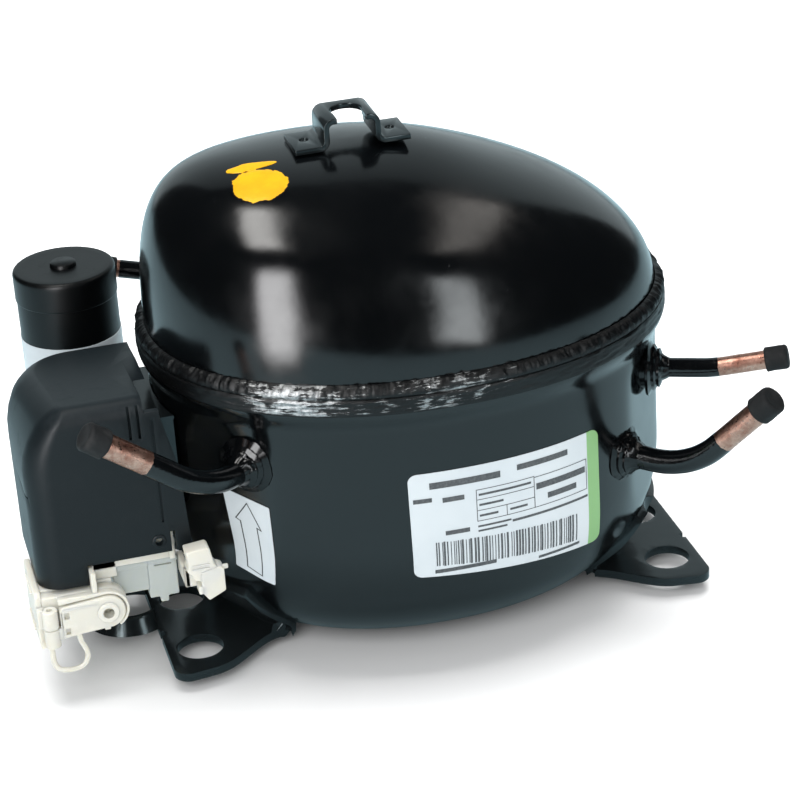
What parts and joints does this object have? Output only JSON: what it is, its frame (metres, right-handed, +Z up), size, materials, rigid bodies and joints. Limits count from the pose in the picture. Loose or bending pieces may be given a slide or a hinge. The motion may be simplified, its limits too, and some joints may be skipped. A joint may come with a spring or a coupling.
{
  "type": "hermetic reciprocating compressor",
  "caption": "Sealed black steel pump shell with domed cover, capped copper stubs, terminal cover and start capacitor; motor, crank and piston inside.",
  "frame": {"origin": "centre of the four mounting holes, on the underside of the base plates", "axes": "+Z up along the crankshaft, -X towards the electrical side and capacitor, -Y towards the rating label"},
  "size_m": [0.2641, 0.1891, 0.1811],
  "materials": {
    "black_paint": "gloss black paint over pressed steel, with soft waves and specks",
    "weld": "rough black-painted weld bead with bare bright patches",
    "plate_paint": "satin black paint over stamped steel",
    "tube_copper": "bare copper, lightly tarnished, black paint near the shell",
    "plug_rubber": "matt black rubber",
    "bare_steel": "plain steel",
    "zinc_steel": "zinc-plated steel",
    "glass_seal": "fused glass",
    "brass_screw": "yellow-passivated screw",
    "cover_plastic": "fine-grained black moulding",
    "relay_plastic": "translucent white moulding",
    "white_nylon": "cream-white nylon",
    "phenolic": "dark moulded phenolic",
    "capacitor_black": "black moulded can",
    "label_white": null,
    "cast_iron": "machined grey iron",
    "ground_steel": "ground steel",
    "reed_steel": "blued spring steel",
    "gasket_fibre": "pressed fibre",
    "alloy": "die-cast aluminium",
    "muffler_plastic": "natural glass-filled nylon",
    "copper_winding": "enamelled copper wire",
    "lamination": "stacked electrical steel",
    "bronze": "sintered bronze",
    "loop_copper": "copper-washed steel tube"
  },
  "bodies": {
    "housing": {"lower_housing": "black_paint", "upper_cover": "black_paint", "weld_bead": "weld", "tray_bracket": "plate_paint", "base_plate_left": "plate_paint", "base_plate_right": "plate_paint", "suction_tube": "tube_copper", "process_tube": "tube_copper", "discharge_tube": "tube_copper", "service_tube": "tube_copper", "tube_collars": "black_paint", "terminal_body": "bare_steel", "terminal_glass": "glass_seal", "terminal_pins": "bare_steel", "terminal_fence": "plate_paint", "earth_screw": "brass_screw", "overload_protector": "phenolic", "start_relay": "relay_plastic", "relay_connector": "white_nylon", "start_capacitor": "capacitor_black", "capacitor_cap": "capacitor_black", "capacitor_label": "label_white", "capacitor_bracket": "zinc_steel", "rating_label": "label_white", "flow_arrow_label": "label_white", "spring_seats": "bare_steel", "suspension_springs": "reed_steel"},
    "suction_plug": {"suction_plug": "plug_rubber"},
    "process_plug": {"process_plug": "plug_rubber"},
    "discharge_plug": {"discharge_plug": "plug_rubber"},
    "service_plug": {"service_plug": "plug_rubber"},
    "terminal_cover": {"terminal_cover": "cover_plastic", "cord_clamp_base": "white_nylon"},
    "cord_clamp_jaw": {"cord_clamp_jaw": "white_nylon", "cord_clamp_strap": "white_nylon"},
    "pump_unit": {"crankcase": "cast_iron", "thrust_washer": "bronze", "valve_plate": "ground_steel", "head_gasket": "gasket_fibre", "cylinder_head": "alloy", "head_bolts": "zinc_steel", "suction_muffler": "muffler_plastic", "discharge_muffler": "bare_steel", "discharge_loop": "loop_copper", "stator_core": "lamination", "stator_windings": "copper_winding", "stator_bolts": "zinc_steel", "spring_pins": "bare_steel"},
    "crankshaft": {"crankshaft": "ground_steel", "counterweight": "cast_iron", "oil_pickup": "bare_steel", "rotor_core": "lamination", "rotor_cage": "alloy"},
    "slide_block": {"slide_block": "bronze"},
    "oil_gallery_plug": {"oil_gallery_plug": "brass_screw"},
    "piston": {"piston": "ground_steel", "yoke": "ground_steel"},
    "suction_reed": {"suction_reed": "reed_steel"},
    "discharge_reed": {"discharge_reed": "reed_steel"}
  },
  "joints": [
    {"name": "suspension", "type": "slide", "parent": "housing", "child": "pump_unit", "axis": [0, 0, 1], "range_m": [-0.003, 0.002], "stiffness_N_per_m": 20000, "springref_m": 0.002, "deforming": ["suspension_springs", "discharge_loop"]},
    {"name": "crankshaft_spin", "type": "hinge", "parent": "pump_unit", "child": "crankshaft", "pos_m": [0.002, 0, 0.06], "axis": [0, 0, 1], "continuous": true},
    {"name": "slide_block_turn", "type": "hinge", "parent": "crankshaft", "child": "slide_block", "pos_m": [0.01, 0, 0.116], "axis": [0, 0, 1], "continuous": true},
    {"name": "oil_plug_turn", "type": "hinge", "parent": "crankshaft", "child": "oil_gallery_plug", "pos_m": [0.006, 0, 0.12], "axis": [0, 0, 1], "continuous": true},
    {"name": "piston_travel", "type": "hinge", "parent": "oil_gallery_plug", "child": "piston", "pos_m": [0.01, 0, 0.116], "axis": [0, 0, 1], "continuous": true},
    {"name": "suction_reed_lift", "type": "hinge", "parent": "pump_unit", "child": "suction_reed", "pos_m": [-0.05432, 0, 0.107], "axis": [0, 1, 0], "range_deg": [0, 5], "stiffness_Nm_per_rad": 0.02},
    {"name": "discharge_reed_lift", "type": "hinge", "parent": "pump_unit", "child": "discharge_reed", "pos_m": [-0.05702, 0.007, 0.104], "axis": [0, -1, 0], "range_deg": [0, 8], "stiffness_Nm_per_rad": 0.02},
    {"name": "terminal_cover_pull", "type": "slide", "parent": "housing", "child": "terminal_cover", "axis": [-1, 0, 0], "range_m": [0, 0.06]},
    {"name": "cord_clamp_swing", "type": "hinge", "parent": "terminal_cover", "child": "cord_clamp_jaw", "pos_m": [-0.1352, -0.0438, 0.026], "axis": [0, 0, -1], "range_deg": [0, 100]},
    {"name": "suction_plug_pull", "type": "slide", "parent": "housing", "child": "suction_plug", "axis": [-0.7887, -0.0961, 0.6072], "range_m": [0, 0.03]},
    {"name": "process_plug_pull", "type": "slide", "parent": "housing", "child": "process_plug", "axis": [0.4967, -0.4738, 0.7272], "range_m": [0, 0.03]},
    {"name": "discharge_plug_pull", "type": "slide", "parent": "housing", "child": "discharge_plug", "axis": [0.8992, -0.3985, 0.1805], "range_m": [0, 0.03]},
    {"name": "service_plug_pull", "type": "slide", "parent": "housing", "child": "service_plug", "axis": [-0.9622, 0.1867, 0.1983], "range_m": [0, 0.03]}
  ],
  "couplings": [
    {"joint": "slide_block_turn", "follows": "crankshaft_spin", "ratio": -1},
    {"joint": "oil_plug_turn", "follows": "crankshaft_spin", "ratio": -2},
    {"joint": "piston_travel", "follows": "crankshaft_spin", "ratio": 1}
  ]
}
